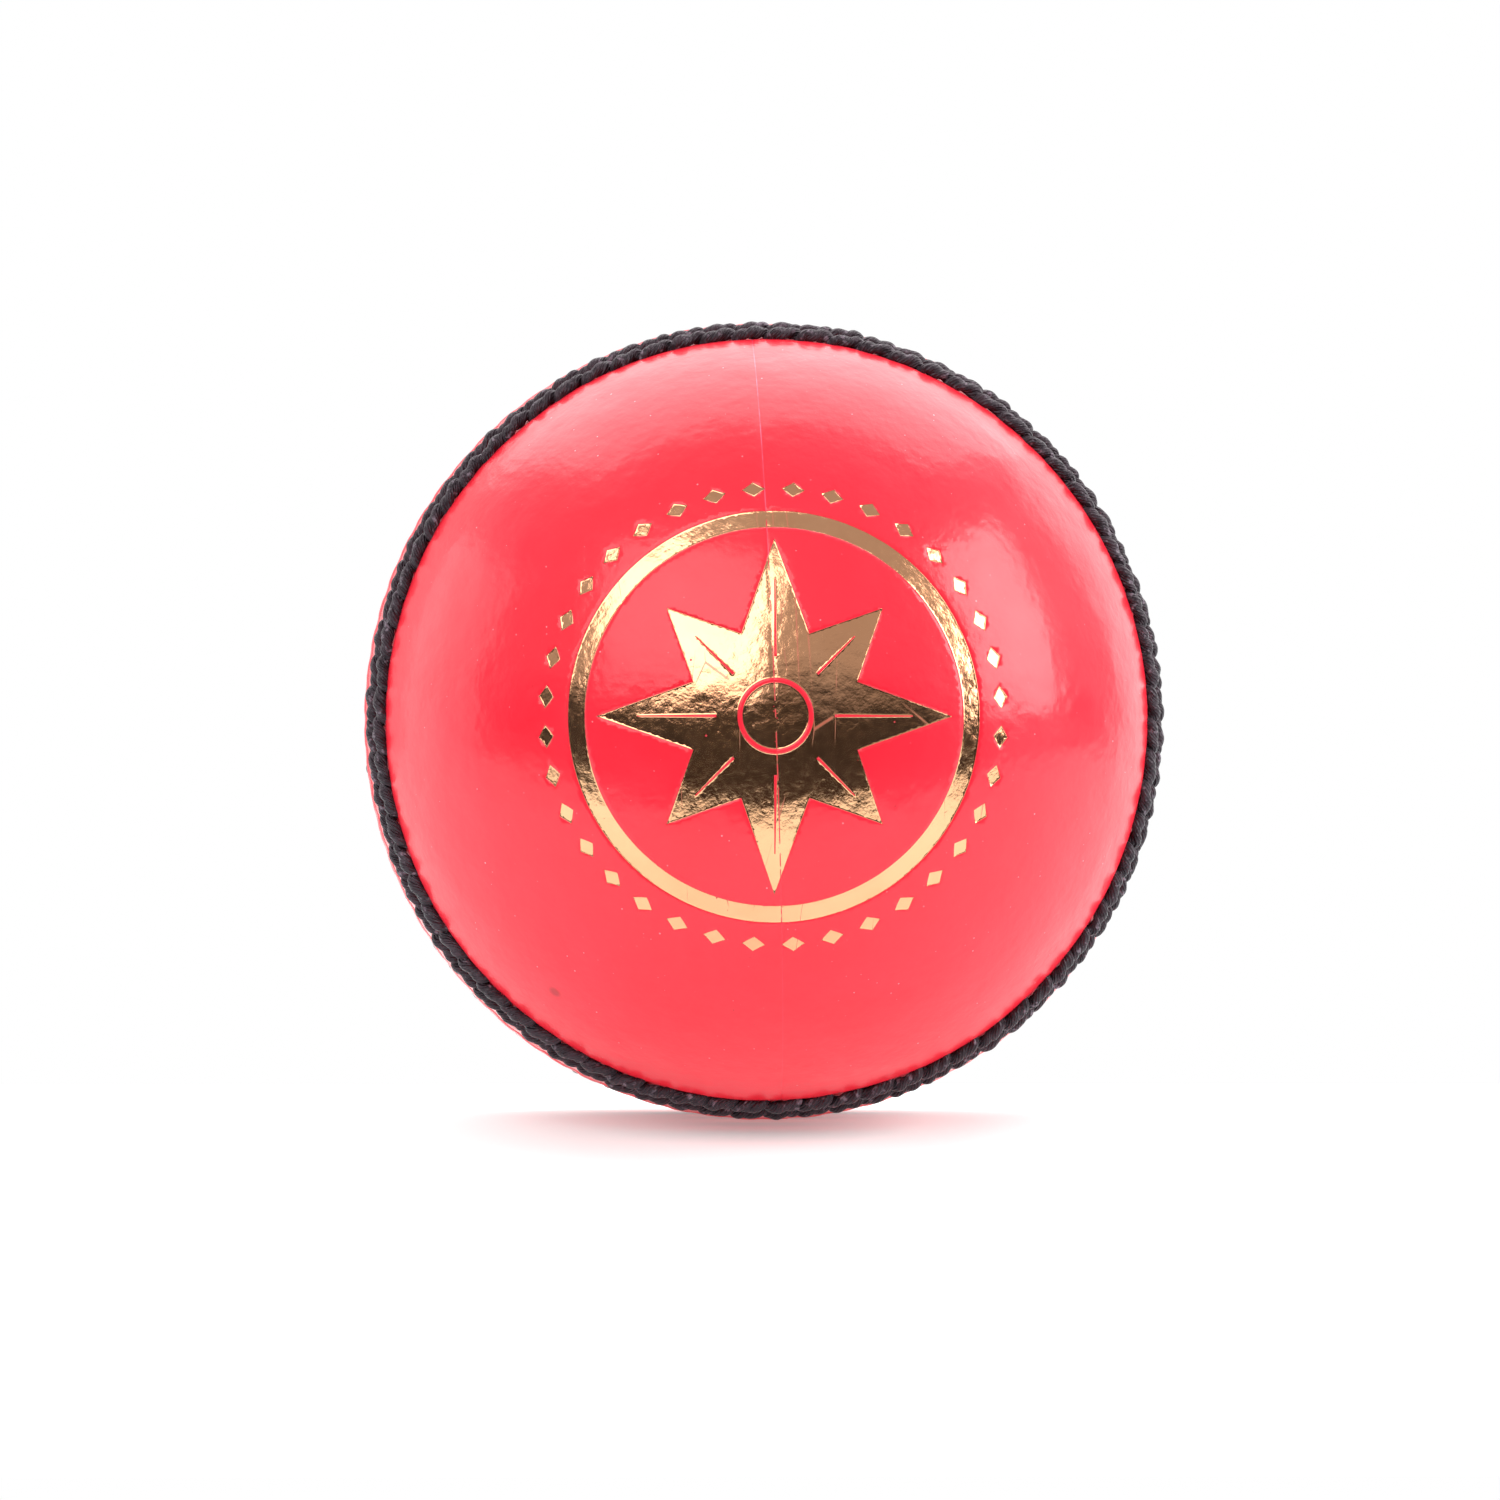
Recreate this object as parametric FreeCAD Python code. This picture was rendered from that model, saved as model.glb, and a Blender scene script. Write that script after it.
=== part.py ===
import FreeCAD, Part
import math
import os

# A four-piece cricket ball. Everything is drawn about the local Z axis, which is the axis
# of the ball's two cups, and is turned at the end so that the stamped pole faces -Y and
# the seam stands in the plane XZ. The origin is the centre of the ball.

Vector = FreeCAD.Vector
ORIGIN = Vector(0, 0, 0)
AXIS = Vector(0, 0, 1)

# Ball, millimetres
BALL_RADIUS = 36.0
COVER_THICKNESS = 3.7
CLEARANCE = 0.04

# Inside: a moulded core with alternating layers of cork and wound yarn
CORE_RADIUS = 14.0
CORE_GROOVE_DEPTH = 0.2
CORE_GROOVE_HALF_ANGLE = 2.0
LAYER_COUNT = 5
CORK_THICKNESS = 2.0
CORK_GORES = 8
CORK_GORE_GAP_ANGLE = 0.7
CORK_CAP_LATITUDE = 66.0
CORK_CAP_GAP_ANGLE = 0.8
LAYER_TURN = 37.0

# Rows of stitches, as distances from the equator along the leather
STITCHES_PER_ROW = 76
PITCH_ANGLE = 360.0 / STITCHES_PER_ROW
ROW_DISTANCE = {"closing": 2.6, "middle": 8.0, "outer": 11.0}
TURN_THICKENING = 1.05
ROW_CHANNEL_HALF_WIDTH = 1.0
ROW_CHANNEL_DEPTH = 0.56
HOLE_RADIUS = 0.66

# A stitch of the outer and middle rows
STITCH_MIDDLE_RADIUS = 0.58
STITCH_END_RADIUS = 0.24
STITCH_AXIS_HEIGHT = 0.08
STITCH_SIDE_STEP = 0.34

# The under thread that locks those stitches inside the cover
UNDER_THREAD_RADIUS = 0.33
UNDER_CHANNEL_DEPTH = 0.8
UNDER_CHANNEL_HALF_WIDTH = 0.45

# The equator, where the closing stitches draw the two cups together and sink into them
VALLEY_DEPTH = 0.08
VALLEY_HALF_WIDTH = 3.9
VALLEY_SHOULDER = 1.0
JOINT_BEVEL = 0.25
CLOSING_CHANNEL_HALF_WIDTH = 0.95
CLOSING_CHANNEL_DEPTH = 0.82
CLOSING_MIDDLE_RADIUS = 0.42
CLOSING_END_RADIUS = 0.22
CLOSING_AXIS_DEPTH = 0.34
CLOSING_END_INSET = 0.27
CLOSING_HOLE_RADIUS = 0.6
CLOSING_HOLE_MOUTH = 0.3
CLOSING_HOLE_DEPTH = 2.8
CLOSING_LEG_LENGTH = 1.0
CROSS_THREAD_RADIUS = 0.36

# The butt joint between the two quarters of each cup, sewn from the inside
QUARTER_JOINT_LEAN = 2.2
JOINT_STITCHES_EACH_SIDE = 10
JOINT_STITCH_ANGLE = 6.3
JOINT_CHANNEL_HALF_WIDTH = 1.8
JOINT_CHANNEL_DEPTH = 0.8
JOINT_CHANNEL_END = 14.5
JOINT_THREAD_RADIUS = 0.26
JOINT_HOLE_RADIUS = 0.34
JOINT_STITCH_HALF_WIDTH = 1.3
JOINT_STITCH_APEX = 34.3

# The gold foil medallion pressed into the front pole
FOIL_TOP = 0.02
FOIL_BOTTOM = 0.09
STAMP_DEPTH = 0.12
STAMP_MARGIN = 0.05
STAR_TIP_RADII = (15.6, 13.4)
STAR_VALLEY_RADIUS = 7.8
VEIN_START_RADIUS = 5.2
VEIN_TIP_GAP = 3.4
VEIN_HALF_WIDTH = 0.16
BOSS_RADIUS = 2.9
BOSS_GAP = 0.5
BAND_RADII = (16.8, 18.2)
LOZENGE_COUNT = 36
LOZENGE_CIRCLE_RADIUS = 20.2
LOZENGE_HALF_LENGTH = 0.95
LOZENGE_HALF_HEIGHT = 0.6
PRISM_BOTTOM = 20.0
PRISM_HEIGHT = 20.0

INNER_RADIUS = BALL_RADIUS - COVER_THICKNESS
YARN_THICKNESS = (INNER_RADIUS - CLEARANCE - CORE_RADIUS) / LAYER_COUNT - CORK_THICKNESS
VALLEY_RADIUS = BALL_RADIUS - VALLEY_DEPTH
FIRST_HOLE_ANGLE = QUARTER_JOINT_LEAN - PITCH_ANGLE / 2
JOINT_ANGLES = {1: 90 + QUARTER_JOINT_LEAN, -1: QUARTER_JOINT_LEAN}


def polar(radius, latitude):
    """A point of the half plane XZ, by its distance from the centre and its latitude."""
    angle = math.radians(latitude)
    return Vector(radius * math.cos(angle), 0, radius * math.sin(angle))


def latitude_of(distance, radius=BALL_RADIUS):
    """The latitude of a point that lies this far from the equator along the surface."""
    return math.degrees(distance / radius)


def arc(radius, start, end):
    """An arc about the centre of the ball, between two latitudes."""
    middle = polar(radius, (start + end) / 2)
    return Part.Arc(polar(radius, start), middle, polar(radius, end)).toShape()


def channel(radius, depth, latitude, half_width):
    """A round-bottomed channel in the profile; a negative depth points outwards."""
    reach = latitude_of(half_width, radius)
    start = polar(radius, latitude - reach)
    end = polar(radius, latitude + reach)
    return Part.Arc(start, polar(radius - depth, latitude), end).toShape()


def line(start, end):
    return Part.LineSegment(start, end).toShape()


def outer_profile():
    """The outside of a cup, from the equator up to the pole."""
    bevel_top = latitude_of(JOINT_BEVEL)
    valley_end = latitude_of(VALLEY_HALF_WIDTH)
    shoulder_end = latitude_of(VALLEY_HALF_WIDTH + VALLEY_SHOULDER)
    closing = latitude_of(ROW_DISTANCE["closing"])
    closing_reach = latitude_of(CLOSING_CHANNEL_HALF_WIDTH, VALLEY_RADIUS)
    row_reach = latitude_of(ROW_CHANNEL_HALF_WIDTH)
    edges = [line(polar(VALLEY_RADIUS - JOINT_BEVEL, 0), polar(VALLEY_RADIUS, bevel_top))]
    edges.append(arc(VALLEY_RADIUS, bevel_top, closing - closing_reach))
    edges.append(
        channel(VALLEY_RADIUS, CLOSING_CHANNEL_DEPTH, closing, CLOSING_CHANNEL_HALF_WIDTH)
    )
    edges.append(arc(VALLEY_RADIUS, closing + closing_reach, valley_end))
    edges.append(line(polar(VALLEY_RADIUS, valley_end), polar(BALL_RADIUS, shoulder_end)))
    reached = shoulder_end
    for row in ("middle", "outer"):
        latitude = latitude_of(ROW_DISTANCE[row])
        edges.append(arc(BALL_RADIUS, reached, latitude - row_reach))
        edges.append(channel(BALL_RADIUS, ROW_CHANNEL_DEPTH, latitude, ROW_CHANNEL_HALF_WIDTH))
        reached = latitude + row_reach
    edges.append(arc(BALL_RADIUS, reached, 90))
    return edges


def inner_profile():
    """The inside of a cup, from the pole back to the equator."""
    reach = latitude_of(UNDER_CHANNEL_HALF_WIDTH, INNER_RADIUS)
    edges = []
    reached = 90
    for row in ("outer", "middle"):
        latitude = latitude_of(ROW_DISTANCE[row])
        edges.append(arc(INNER_RADIUS, reached, latitude + reach))
        edges.append(
            channel(INNER_RADIUS, -UNDER_CHANNEL_DEPTH, latitude, -UNDER_CHANNEL_HALF_WIDTH)
        )
        reached = latitude - reach
    edges.append(arc(INNER_RADIUS, reached, 0))
    return edges


def cover_profile():
    """The section of one cup, as a face in the half plane XZ."""
    edges = outer_profile()
    edges.append(line(polar(BALL_RADIUS, 90), polar(INNER_RADIUS, 90)))
    edges += inner_profile()
    edges.append(line(polar(INNER_RADIUS, 0), polar(VALLEY_RADIUS - JOINT_BEVEL, 0)))
    return Part.Face(Part.Wire(edges))


def turned(shape, angle):
    copy = shape.copy()
    copy.rotate(ORIGIN, AXIS, angle)
    return copy


def all_round(shape):
    """One copy of a shape at each stitch hole of a row."""
    angles = [FIRST_HOLE_ANGLE + i * PITCH_ANGLE for i in range(STITCHES_PER_ROW)]
    return [turned(shape, angle) for angle in angles]


def closing_path():
    """A closing hole: where it opens, its direction, and its length to the leather's edge."""
    top = polar(VALLEY_RADIUS - CLOSING_CHANNEL_DEPTH, latitude_of(ROW_DISTANCE["closing"]))
    bottom = Vector(VALLEY_RADIUS - CLOSING_HOLE_DEPTH, 0, 0)
    return top, (bottom - top).normalize(), (bottom - top).Length


def row_hole(row):
    """A hole right through the leather, square to its surface."""
    outwards = polar(1, latitude_of(ROW_DISTANCE[row]))
    start = outwards * (INNER_RADIUS - 1)
    return Part.makeCylinder(HOLE_RADIUS, COVER_THICKNESS + 2, start, outwards)


def closing_hole():
    """A hole that slants from the valley to the edge where the two cups meet."""
    top, inwards, length = closing_path()
    start = top - inwards * CLOSING_HOLE_MOUTH
    return Part.makeCylinder(CLOSING_HOLE_RADIUS, length + 2, start, inwards)


def stitch_body(length, middle_radius, end_radius):
    """A thread that is thick in the middle and thin at both ends, along X."""
    half = length / 2
    start = Vector(-half, 0, 0)
    end = Vector(half, 0, 0)
    side = Part.Arc(
        Vector(-half, end_radius, 0), Vector(0, middle_radius, 0), Vector(half, end_radius, 0)
    )
    wire = Part.Wire(
        [line(start, side.StartPoint), side.toShape(), line(side.EndPoint, end), line(end, start)]
    )
    return Part.Face(wire).revolve(ORIGIN, Vector(1, 0, 0), 360)


def rod(start, end, radius):
    """A straight run of thread, a little thicker where it turns at its start."""
    straight = Part.makeCylinder(radius, (end - start).Length, start, end - start)
    return straight.fuse(Part.makeSphere(radius * TURN_THICKENING, start))


def surface_stitch(first_leg, second_leg, middle_radius, end_radius):
    """One stitch: its body on the leather, and a leg of one or more runs down each hole."""
    start = first_leg[0]
    end = second_leg[0]
    body = stitch_body((end - start).Length, middle_radius, end_radius)
    turn = FreeCAD.Rotation(Vector(1, 0, 0), end - start)
    body.Placement = FreeCAD.Placement((start + end) / 2, turn)
    runs = []
    for leg in (first_leg, second_leg):
        runs += [rod(leg[i], leg[i + 1], end_radius) for i in range(len(leg) - 1)]
    return body.fuse(runs).removeSplitter()


def next_hole(point):
    """The same point at the next stitch hole along the row."""
    return FreeCAD.Rotation(AXIS, PITCH_ANGLE).multVec(point)


def lock_stitch(row):
    """A stitch of the outer or the middle row, slanted from one side of the row to the other."""
    latitude = latitude_of(ROW_DISTANCE[row])
    outwards = polar(1, latitude)
    aside = polar(STITCH_SIDE_STEP, latitude + 90)
    top = outwards * (BALL_RADIUS + STITCH_AXIS_HEIGHT)
    bottom = outwards * (INNER_RADIUS + UNDER_CHANNEL_DEPTH)
    first_leg = [top - aside, bottom - aside]
    second_leg = [next_hole(top + aside), next_hole(bottom + aside)]
    return surface_stitch(first_leg, second_leg, STITCH_MIDDLE_RADIUS, STITCH_END_RADIUS)


def closing_stitch():
    """A stitch of the row beside the equator, with its legs slanting to the leather's edge."""
    mouth, inwards, _ = closing_path()
    latitude = latitude_of(ROW_DISTANCE["closing"])
    corner = polar(VALLEY_RADIUS - CLOSING_AXIS_DEPTH, latitude)
    points = [corner, mouth, mouth + inwards * CLOSING_LEG_LENGTH]
    inset = Vector(0, CLOSING_END_INSET, 0)
    first_leg = [point + inset for point in points]
    second_leg = [next_hole(point - inset) for point in points]
    return surface_stitch(first_leg, second_leg, CLOSING_MIDDLE_RADIUS, CLOSING_END_RADIUS)


def cross_thread():
    """The hidden thread of one closing hole, from one cup through the joint to the other."""
    mouth, inwards, length = closing_path()
    gap = CLOSING_LEG_LENGTH + CLEARANCE
    start = mouth + inwards * gap
    apex = mouth + inwards * length
    half = Part.makeCylinder(CROSS_THREAD_RADIUS, length - gap, start, inwards)
    other = half.mirror(ORIGIN, AXIS)
    return half.fuse([other, Part.makeSphere(CROSS_THREAD_RADIUS, apex)]).removeSplitter()


def under_thread(row):
    """The ring of thread inside the cover that a row of stitches is locked to."""
    centre = polar(INNER_RADIUS + UNDER_THREAD_RADIUS + CLEARANCE, latitude_of(ROW_DISTANCE[row]))
    level = Vector(0, 0, centre.z)
    return Part.makeTorus(centre.x, UNDER_THREAD_RADIUS, level, AXIS)


def joint_stitch_corners(angle, side):
    """The corners of a hidden stitch of the quarter joint, in the frame of that joint."""
    tilt = FreeCAD.Rotation(Vector(0, 1, 0), angle)
    base_height = INNER_RADIUS + JOINT_CHANNEL_DEPTH / 2 + CLEARANCE
    base = tilt.multVec(Vector(0, side * JOINT_STITCH_HALF_WIDTH, base_height))
    apex = tilt.multVec(Vector(0, 0, JOINT_STITCH_APEX))
    return base, apex


def joint_stitch_tilts():
    steps = range(-JOINT_STITCHES_EACH_SIDE, JOINT_STITCHES_EACH_SIDE + 1)
    return [step * JOINT_STITCH_ANGLE for step in steps]


def joint_stitch(angle):
    """A closed loop of thread through both edges of leather, under the joint."""
    left, apex = joint_stitch_corners(angle, -1)
    right, _ = joint_stitch_corners(angle, 1)
    corners = (left, apex, right)
    sides = [rod(corners[i], corners[(i + 1) % 3], JOINT_THREAD_RADIUS) for i in range(3)]
    return sides[0].fuse(sides[1:]).removeSplitter()


def quarter_joint_thread():
    """All hidden stitches of one joint, whose plane is XZ here."""
    return [joint_stitch(angle) for angle in joint_stitch_tilts()]


def quarter_joint_cuts():
    """The channel and the slanting holes for those stitches."""
    width = 2 * JOINT_CHANNEL_HALF_WIDTH
    slab = Part.makeBox(
        2 * BALL_RADIUS,
        width,
        BALL_RADIUS,
        Vector(-BALL_RADIUS, -JOINT_CHANNEL_HALF_WIDTH, JOINT_CHANNEL_END),
    )
    cuts = [slab.common(Part.makeSphere(INNER_RADIUS + JOINT_CHANNEL_DEPTH))]
    for angle in joint_stitch_tilts():
        for side in (-1, 1):
            base, apex = joint_stitch_corners(angle, side)
            reach = (apex - base) * 1.1
            cuts.append(Part.makeCylinder(JOINT_HOLE_RADIUS, reach.Length, base, reach))
    return cuts


def disc(radius):
    return Part.Face(Part.Wire(Part.makeCircle(radius)))


def polygon(points):
    return Part.Face(Part.makePolygon(points + points[:1]))


def flat_point(radius, angle):
    turn = math.radians(angle)
    return Vector(radius * math.cos(turn), radius * math.sin(turn), 0)


def star_face(margin):
    """An eight-pointed compass star with a vein down each point."""
    points = []
    veins = []
    for i in range(8):
        angle = 45 * i
        tip = STAR_TIP_RADII[i % 2]
        points.append(flat_point(tip + 3 * margin, angle))
        points.append(flat_point(STAR_VALLEY_RADIUS + margin, angle + 22.5))
        half = VEIN_HALF_WIDTH - margin
        length = tip - VEIN_TIP_GAP - VEIN_START_RADIUS - margin
        vein = Part.makePlane(length, 2 * half, Vector(VEIN_START_RADIUS + margin, -half, 0))
        veins.append(turned(vein, angle))
    gap = disc(BOSS_RADIUS + BOSS_GAP - margin)
    return polygon(points).cut(veins + [gap])


def medallion_faces(margin=0.0):
    """The flat outlines of all foil pieces, made larger all round by the margin."""
    inner, outer = BAND_RADII
    faces = [star_face(margin), disc(BOSS_RADIUS + margin)]
    faces.append(disc(outer + margin).cut(disc(inner - margin)))
    half_length = LOZENGE_HALF_LENGTH + margin
    half_height = LOZENGE_HALF_HEIGHT + margin
    lozenge = polygon(
        [
            Vector(LOZENGE_CIRCLE_RADIUS - half_height, 0, 0),
            Vector(LOZENGE_CIRCLE_RADIUS, half_length, 0),
            Vector(LOZENGE_CIRCLE_RADIUS + half_height, 0, 0),
            Vector(LOZENGE_CIRCLE_RADIUS, -half_length, 0),
        ]
    )
    step = 360.0 / LOZENGE_COUNT
    faces += [turned(lozenge, (i + 0.5) * step) for i in range(LOZENGE_COUNT)]
    return faces


def prisms(faces):
    """Each outline, drawn out along the ball's axis."""
    solids = []
    for face in faces:
        face.translate(Vector(0, 0, PRISM_BOTTOM))
        solids += face.extrude(Vector(0, 0, PRISM_HEIGHT)).Solids
    return solids


def foil_pieces():
    """The foil itself, as thin curved pieces just under the leather's surface."""
    top = Part.makeSphere(BALL_RADIUS - FOIL_TOP)
    bottom = Part.makeSphere(BALL_RADIUS - FOIL_BOTTOM)
    pieces = []
    for prism in prisms(medallion_faces()):
        pieces += prism.common(top).cut(bottom).Solids
    return pieces


def stamp_cuts():
    """What the hot die pressed into the leather for the foil to lie in."""
    floor = Part.makeSphere(BALL_RADIUS - STAMP_DEPTH)
    return [prism.cut(floor) for prism in prisms(medallion_faces(STAMP_MARGIN))]


def cup_quarters(side):
    """The two leather quarters of the front cup (side 1) or the back cup (side -1)."""
    joint_angle = JOINT_ANGLES[side]
    half = cover_profile().revolve(ORIGIN, AXIS, 180)
    holes = all_round(row_hole("outer")) + all_round(row_hole("middle"))
    holes += all_round(closing_hole())
    holes += [turned(cut, joint_angle) for cut in quarter_joint_cuts()]
    if side == 1:
        holes += stamp_cuts()
    quarters = []
    for turn in (0, 180):
        placed = [turned(hole, -joint_angle - turn) for hole in holes]
        inside = [hole for hole in placed if hole.BoundBox.YMax > 0]
        quarters.append(turned(half.cut(inside), joint_angle + turn))
    return quarters


def cork_layer(inner, turn):
    """Curved strips of cork from pole to pole, with a small round piece at each pole."""
    outer = inner + CORK_THICKNESS - CLEARANCE
    reach = CORK_CAP_LATITUDE
    section = Part.Wire(
        [
            arc(outer, -reach, reach),
            line(polar(outer, reach), polar(inner, reach)),
            arc(inner, reach, -reach),
            line(polar(inner, -reach), polar(outer, -reach)),
        ]
    )
    step = 360.0 / CORK_GORES
    gore = Part.Face(section).revolve(ORIGIN, AXIS, step - CORK_GORE_GAP_ANGLE)
    pieces = [turned(gore, i * step) for i in range(CORK_GORES)]
    edge = reach + CORK_CAP_GAP_ANGLE
    cap_section = Part.Wire(
        [
            arc(outer, edge, 90),
            line(polar(outer, 90), polar(inner, 90)),
            arc(inner, 90, edge),
            line(polar(inner, edge), polar(outer, edge)),
        ]
    )
    cap = Part.Face(cap_section).revolve(ORIGIN, AXIS, 360)
    pieces += [cap, cap.mirror(ORIGIN, AXIS)]
    for piece in pieces:
        piece.rotate(ORIGIN, Vector(1, 0, 0), turn)
    return pieces


def yarn_layer(inner):
    """Yarn wound evenly over the layer of cork below it."""
    outer = inner + YARN_THICKNESS - CLEARANCE
    return Part.makeSphere(outer).cut(Part.makeSphere(inner))


def core():
    """The moulded middle, with the groove that its mould leaves round it."""
    radius = CORE_RADIUS - CLEARANCE
    edge = CORE_GROOVE_HALF_ANGLE
    groove = Part.Arc(
        polar(radius, -edge), polar(radius - CORE_GROOVE_DEPTH, 0), polar(radius, edge)
    )
    wire = Part.Wire(
        [
            arc(radius, -90, -edge),
            groove.toShape(),
            arc(radius, edge, 90),
            line(polar(radius, 90), polar(radius, -90)),
        ]
    )
    return Part.Face(wire).revolve(ORIGIN, AXIS, 360)


def mirrored(shapes):
    return [shape.mirror(ORIGIN, AXIS) for shape in shapes]


def write(node, shapes):
    """Turns the pieces of one node to the ball's final frame and writes them."""
    solids = [solid for shape in shapes for solid in shape.Solids]
    group = solids[0] if len(solids) == 1 else Part.Compound(solids)
    group = group.copy()
    group.rotate(ORIGIN, Vector(1, 0, 0), 90)
    group.exportStep("parts/" + node + ".step")
    print(node, len(solids), "solids", round(group.Volume, 2), "mm3", group.isValid())


def write_inside():
    write("cork_rubber_core", [core()])
    radius = CORE_RADIUS
    for i in range(LAYER_COUNT):
        number = str(i + 1)
        write("cork_layer_" + number, cork_layer(radius, (i + 1) * LAYER_TURN))
        radius += CORK_THICKNESS
        write("yarn_layer_" + number, [yarn_layer(radius)])
        radius += YARN_THICKNESS


def write_rows():
    for row in ("outer", "middle"):
        stitches = all_round(lock_stitch(row))
        ring = [under_thread(row)]
        write(row + "_stitch_row_front", stitches)
        write(row + "_stitch_row_back", mirrored(stitches))
        write(row + "_under_thread_front", ring)
        write(row + "_under_thread_back", mirrored(ring))
    stitches = all_round(closing_stitch())
    write("closing_stitch_row_front", stitches)
    write("closing_stitch_row_back", mirrored(stitches))
    write("closing_cross_thread", all_round(cross_thread()))


def write_cover():
    left, right = cup_quarters(1)
    write("leather_quarter_front_left", [left])
    write("leather_quarter_front_right", [right])
    upper, lower = mirrored(cup_quarters(-1))
    write("leather_quarter_back_upper", [upper])
    write("leather_quarter_back_lower", [lower])
    thread = quarter_joint_thread()
    write("quarter_joint_thread_front", [turned(s, JOINT_ANGLES[1]) for s in thread])
    back = mirrored([turned(s, JOINT_ANGLES[-1]) for s in thread])
    write("quarter_joint_thread_back", back)


def main():
    os.makedirs("parts", exist_ok=True)
    write_inside()
    write_rows()
    write_cover()
    write("gold_foil_stamp", foil_pieces())


main()
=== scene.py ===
import math
import bmesh
import bpy
import numpy as np
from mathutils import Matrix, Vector, geometry, kdtree


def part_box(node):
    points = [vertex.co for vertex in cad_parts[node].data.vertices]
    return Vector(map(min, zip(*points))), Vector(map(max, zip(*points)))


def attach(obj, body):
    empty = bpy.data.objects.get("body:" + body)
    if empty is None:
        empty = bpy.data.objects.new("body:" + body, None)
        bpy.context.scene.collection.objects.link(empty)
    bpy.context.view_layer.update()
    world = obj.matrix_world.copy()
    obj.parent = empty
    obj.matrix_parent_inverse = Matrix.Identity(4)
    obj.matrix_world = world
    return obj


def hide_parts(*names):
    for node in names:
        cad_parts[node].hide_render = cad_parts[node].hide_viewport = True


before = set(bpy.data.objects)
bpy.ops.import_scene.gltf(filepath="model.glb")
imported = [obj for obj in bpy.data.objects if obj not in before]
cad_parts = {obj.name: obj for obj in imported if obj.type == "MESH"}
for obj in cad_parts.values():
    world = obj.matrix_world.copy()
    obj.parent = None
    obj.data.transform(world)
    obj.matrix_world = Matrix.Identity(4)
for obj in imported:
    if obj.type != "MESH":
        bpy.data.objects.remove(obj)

# A four-piece cricket ball in metres, with its centre at the origin. Y is the axis of its two
# cups: the front pole, with the foil medallion, is at -Y, and the seam stands in the plane XZ.
# An azimuth turns about Y from +X towards +Z; a distance is measured along the leather from
# the equator towards a pole; a height is measured outwards from the leather's mean surface.
FRONT, BACK = -1, 1
MM = 0.001
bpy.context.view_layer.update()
BALL_RADIUS = round(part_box("leather_quarter_back_upper")[1][1], 4)
INNER_RADIUS = BALL_RADIUS - 3.7 * MM
JOINT_LEAN = math.radians(2.2)
JOINT_AZIMUTH = {FRONT: math.pi / 2 + JOINT_LEAN, BACK: JOINT_LEAN}

# Stitching
STITCHES = 76
PITCH = 2 * math.pi / STITCHES
FIRST_HOLE = JOINT_LEAN - PITCH / 2
ROW_DISTANCE = {"closing": 2.6 * MM, "middle": 8.0 * MM, "outer": 11.0 * MM}

# Leather mesh. Its rings lie closest at the equator and widen past the seam.
SEAM_EDGE = 13.4 * MM
SHOULDER_EDGE = 19.0 * MM
CAP_EDGE = 32.0 * MM
CAP_RADIUS = BALL_RADIUS * math.cos(CAP_EDGE / BALL_RADIUS)
SEAM_COLUMNS = 16 * STITCHES // 2
SHOULDER_COLUMNS = 8 * STITCHES // 2
CAP_COLUMNS = 202
EQUATOR_RINGS = (0, 0.05 * MM, 0.11 * MM, 0.18 * MM, 0.27 * MM, 0.38 * MM)
SEAM_STEP = 0.14 * MM
WIDEST_STEP = 0.48 * MM
STEP_GROWTH = 1.05
GROWTH_START = SEAM_EDGE - 1 * MM
LAST_RING = CAP_EDGE - 0.2 * MM
CAP_SPACING = 0.36 * MM
JOINT_SPACING = 0.8 * CAP_SPACING
JOINT_SIDE_LINES = (-0.26 * MM, -0.11 * MM, 0.11 * MM, 0.26 * MM)
STAMP_EDGE_SPACING = 0.5 * MM
STAMP_EDGE_GAP = 0.08 * MM
HEXAGON_ROW = 0.866
GRID_MARGIN = 0.6
SAME_PLACE = 1e-7
SAME_TURN = 0.01

# Lining of a quarter, on a sphere of radius 1
LINING_POINTS = 2400
LINING_MARGIN = 0.02
LINING_GAP = 0.03

# Relief of the leather. A hollow has a depth and a width; a ripple a height, a size and a seed;
# a hole's power says how narrow it is.
ROW_HOLLOW = (0.2 * MM, 1.25 * MM)
ROW_GROOVE = (0.2 * MM, 0.55 * MM)
ROW_HOLE = (0.25 * MM, 0.5 * MM)
POLE_SIDE_SHARE = 0.5
RIDGE_HEIGHT = 0.04 * MM
RIDGE_PLACE = ROW_DISTANCE["outer"] + 0.5 * MM
RIDGE_WIDTH = 1.2 * MM
CLOSING_GROOVE = (0.74 * MM, 0.66 * MM)
CLOSING_HOLE = (0.3 * MM, 0.5 * MM)
LIPS = ((1.0 * MM, 0.5 * MM), (4.4 * MM, 0.9 * MM))
LIP_HEIGHT = 0.05 * MM
LIP_HOLE_DEPTH = 0.12 * MM
EQUATOR_GROOVE = (0.34 * MM, 0.14 * MM)
EQUATOR_HOLLOW = (0.13 * MM, 4.2 * MM)
JOINT_GROOVE = (0.05 * MM, 0.09 * MM)
JOINT_HOLLOW = (0.012 * MM, 0.8 * MM)
WIDE_HOLE_POWER = 3
NARROW_HOLE_POWER = 8
SEAM_RIPPLE = (0.2, 6 * MM, 11)
LEATHER_RIPPLES = ((0.022 * MM, 16 * MM, 21), (0.007 * MM, 4.5 * MM, 22), (0.0014 * MM, 1.3 * MM, 23))
FOIL_RIPPLES = ((0.0028 * MM, 1.0 * MM, 31), (0.0050 * MM, 2.6 * MM, 32))
RIPPLE_SPREAD = (0.7, 1.5)

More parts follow.
